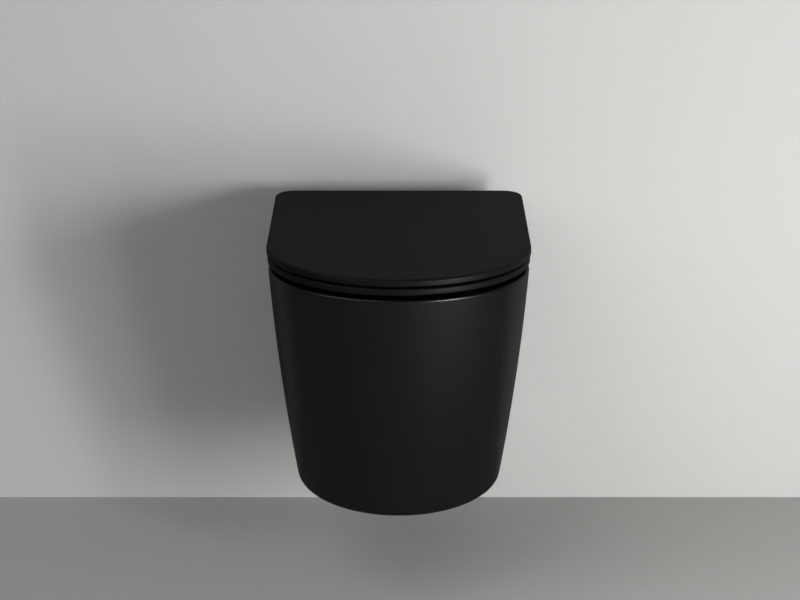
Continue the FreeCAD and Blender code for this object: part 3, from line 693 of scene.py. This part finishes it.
hex_nuts("bush_nuts_chamfered", half_flats=0.0065, height=0.009, bore=screw_radius, pitch=None,
         places=[((x, hinge_y, deck_top_z - bush_length), -upward, rightward)
                 for x in (-hinge_x, hinge_x)],
         material=turned_brass, slot="brass", node="bush_nuts")


def socket_screw(bm, centre, along, out, length, radius, head, socket, thread_from, pitch):
    """Screw down from its head's top: a hex socket, a shank and its thread."""
    head_radius, head_height = head
    half_flats, depth = socket
    socket_edge, head_edge, tip_taper, thread_share = 0.0002, 0.0004, 0.0006, 0.55
    turns = int((length - thread_from) / pitch) - 1
    core = radius - pitch * thread_share
    rings = [("hex", half_flats, -depth), ("hex", half_flats, -socket_edge),
             ("hex", half_flats + socket_edge, 0), ("round", head_radius - head_edge, 0),
             ("round", head_radius, -head_edge), ("round", head_radius, -head_height),
             ("round", radius, -head_height), ("round", radius, -thread_from),
             ("round", core, -thread_from), ("round", core, -length + tip_taper),
             ("round", core - tip_taper, -length)]
    stacked_rings(bm, rings, centre, along, out, closed=False, count=48)
    add_thread(bm, core, radius, pitch, turns,
               centre - along * (thread_from + (turns + 1) * pitch), along)


screw_low, screw_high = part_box("post_screws")
screws = bmesh.new()
for x in (-hinge_x, hinge_x):
    socket_screw(screws, Vector((x, hinge_y, screw_high.z)), upward, rightward,
                 length=screw_high.z - screw_low.z, radius=screw_radius, head=screw_head,
                 socket=screw_socket, thread_from=screw_thread_from, pitch=screw_pitch)
add_made_piece("post_screws_threaded", screws, machined_degrees, stainless, "bowl",
               "stainless_steel", "post_screws")

# Hinge barrels. Matt black powder-coated metal, bored from both ends; each sits
# on its post and is locked by a small grub screw at the back.
hinge_z = 0.0952
moulded_degrees = 28
grub_radius, grub_length, grub_edge = 0.0024, 0.0032, 0.0003
grub_half_flats, grub_socket_depth = 0.0011, 0.0014
powder_coat = surface_material("black_powder_coat", dark=(0.0035, 0.0035, 0.0035),
                               light=(0.0065, 0.0065, 0.0062), roughness=(0.42, 0.55),
                               tooth=(1700, 0.00005), specular=0.35)
for side in ("left", "right"):
    smooth_copy("hinge_barrel_" + side, "bowl", powder_coat, "black_metal", moulded_degrees)
grub_back_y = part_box("grub_screws")[1].y
grub_rings = [("hex", grub_half_flats, -grub_socket_depth),
              ("hex", grub_half_flats, -grub_edge),
              ("round", grub_radius - grub_edge, -grub_edge),
              ("round", grub_radius, -2 * grub_edge), ("round", grub_radius, -grub_length)]
grubs = bmesh.new()
for x in (-hinge_x, hinge_x):
    stacked_rings(grubs, grub_rings, Vector((x, grub_back_y, hinge_z)), rearward, rightward,
                  closed=False, count=48)
add_made_piece("grub_screws_socketed", grubs, smooth_degrees, stainless, "bowl",
               "stainless_steel", "grub_screws")

# Soft-close dampers and bearings. Moulded cartridges and plain plugs pressed
# into the barrels, with steel rotors and pins that carry the seat and the lid.
cartridge_plastic = surface_material("black_cartridge", dark=(0.010, 0.010, 0.010),
                                     light=(0.016, 0.016, 0.015), roughness=(0.35, 0.45),
                                     tooth=(1100, 0.00003))
for carried in ("lid", "seat"):
    smooth_copy(carried + "_damper_housing", "bowl", cartridge_plastic, "black_plastic")
    smooth_copy(carried + "_damper_cap", "bowl", cartridge_plastic, "black_plastic")
    smooth_copy(carried + "_bearing_plug", "bowl", white_plastic, "white_plastic")
    smooth_copy(carried + "_damper_rotor", carried, stainless, "stainless_steel")
    smooth_copy(carried + "_pivot_pin", carried, stainless, "stainless_steel")

# Seat ring. Matt black urea moulding compound, pressed in one piece with its
# two hinge lugs.
duroplast = surface_material("matt_black_duroplast", dark=(0.0040, 0.0041, 0.0038),
                             light=(0.0055, 0.0056, 0.0052), roughness=(0.55, 0.65),
                             tooth=(1400, 0.00003), specular=0.0, coat=(0.16, 0.42, 1.5))
smooth_copy("seat_ring", "seat", duroplast, "black_duroplast", moulded_degrees)

# Seat buffers. Soft dark pads, pressed by their stems into the seat's
# underside, with a shallow groove that lets the air out.
front_buffer_x, rear_buffer_x = 0.092, 0.145
soft_buffer = surface_material("soft_buffer", dark=(0.022, 0.022, 0.021),
                               light=(0.034, 0.034, 0.032), roughness=(0.4, 0.5),
                               tooth=(1200, 0.00003), specular=0.45)


def grooved_buffers(node, body, radius, front_y, rear_y):
    """Pads down from the plate that they are pressed into, as far as the CAD's."""
    low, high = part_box(node)
    stem_radius, stem_height = 0.0025, 0.005
    shoulder_width, shoulder_height, rounding = 0.0004, 0.0006, 0.0010
    groove_radius, groove_depth = radius * 0.55, 0.0006
    groove_half_width, groove_floor_half_width = 0.0008, 0.0004
    top_z = high.z - stem_height
    height = top_z - low.z
    groove_floor = -height + groove_depth
    outline = softened([(stem_height, 0), (stem_height, stem_radius), (0, stem_radius),
                        (0, radius - shoulder_width), (-shoulder_height, radius),
                        (-height, radius), (-height, groove_radius + groove_half_width),
                        (groove_floor, groove_radius + groove_floor_half_width),
                        (groove_floor, groove_radius - groove_floor_half_width),
                        (-height, groove_radius - groove_half_width), (-height, 0)], rounding)
    places = [((side * x, y, top_z), upward) for side in (-1, 1)
              for x, y in ((front_buffer_x, front_y), (rear_buffer_x, rear_y))]
    turned_pieces(node + "_grooved", outline, places, soft_buffer, body, "soft_buffer", node)


grooved_buffers("seat_buffers", "seat", radius=0.009, front_y=-0.44, rear_y=-0.14)

# Lid. The same moulding compound, flat and thin, with two ears that carry its
# pins outside the barrels, and smaller buffers that rest on the seat.
smooth_copy("lid", "lid", duroplast, "black_duroplast", moulded_degrees)
grooved_buffers("lid_buffers", "lid", radius=0.006, front_y=-0.42, rear_y=-0.12)
